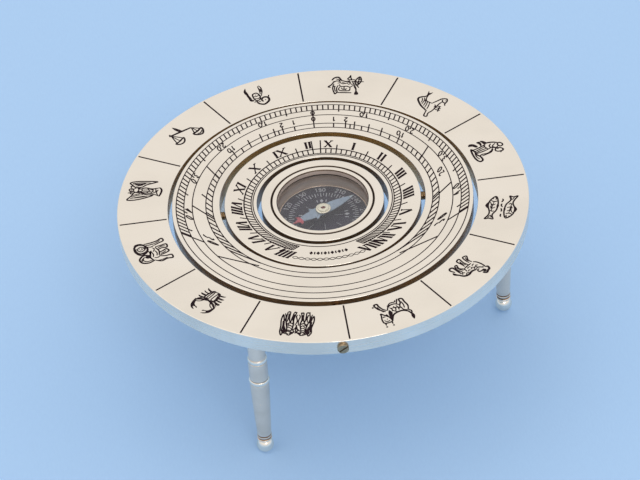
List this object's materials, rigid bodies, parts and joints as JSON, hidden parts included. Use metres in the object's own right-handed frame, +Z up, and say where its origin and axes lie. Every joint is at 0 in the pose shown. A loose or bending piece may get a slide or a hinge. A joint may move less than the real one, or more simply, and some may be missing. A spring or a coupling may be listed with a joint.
{
  "type": "gimballed sundial compass",
  "caption": "Polished brass table sundial compass: a flat zodiac ring on turned ball-foot legs, with nested scale and hour rings and a glazed compass that turn on cross pivots.",
  "frame": {"origin": "on the floor, under the centre of the rings, at the middle of the three feet's bearing plane", "axes": "+Z up; +Y to the back, along the pivot screws of the outer ring; +X to the right"},
  "size_m": [0.2032, 0.2064, 0.089],
  "materials": {
    "polished_brass": "mirror polished, with engraved lines filled black",
    "turned_brass": "polished turning, faint lathe lines",
    "pivot_brass": "plain machined, tarnished in the slots",
    "window_glass": "clear flat glass",
    "black_card": "printed black, with white degree marks",
    "gasket_rubber": "matte",
    "needle_steel": "blued and lacquered, red at the north end",
    "pin_steel": "hardened and polished",
    "jewel": "polished, dark red"
  },
  "bodies": {
    "stand": {"zodiac_ring": "polished_brass", "leg_right": "turned_brass", "leg_back": "turned_brass", "leg_front": "turned_brass", "zodiac_pivot_screw_front": "pivot_brass", "zodiac_pivot_screw_back": "pivot_brass", "zodiac_collar_front": "pivot_brass", "zodiac_collar_back": "pivot_brass"},
    "scale_gimbal": {"scale_ring": "polished_brass", "scale_pivot_screw_left": "pivot_brass", "scale_pivot_screw_right": "pivot_brass", "scale_collar_left": "pivot_brass", "scale_collar_right": "pivot_brass"},
    "hour_gimbal": {"hour_ring": "polished_brass", "hour_pivot_screw_front": "pivot_brass", "hour_pivot_screw_back": "pivot_brass", "hour_collar_front": "pivot_brass", "hour_collar_back": "pivot_brass"},
    "compass": {"compass_bowl": "polished_brass", "bezel_ring": "polished_brass", "glass_gasket": "gasket_rubber", "glass_window": "window_glass", "dial_card": "black_card", "card_ring": "turned_brass", "pivot_pin": "pin_steel"},
    "needle_swing": {"needle": "needle_steel", "needle_cap": "turned_brass", "cap_jewel": "jewel"}
  },
  "joints": [
    {"name": "scale_ring_tumble", "type": "hinge", "parent": "stand", "child": "scale_gimbal", "pos_m": [0, 0, 0.085], "axis": [0, 1, 0], "continuous": true},
    {"name": "hour_ring_tumble", "type": "hinge", "parent": "scale_gimbal", "child": "hour_gimbal", "pos_m": [0, 0, 0.085], "axis": [1, 0, 0], "continuous": true},
    {"name": "compass_swing", "type": "hinge", "parent": "hour_gimbal", "child": "compass", "pos_m": [0, 0, 0.085], "axis": [0, 1, 0], "continuous": true},
    {"name": "needle_turn", "type": "hinge", "parent": "compass", "child": "needle_swing", "pos_m": [0, 0, 0.0821], "axis": [0, 0, 1], "continuous": true}
  ]
}
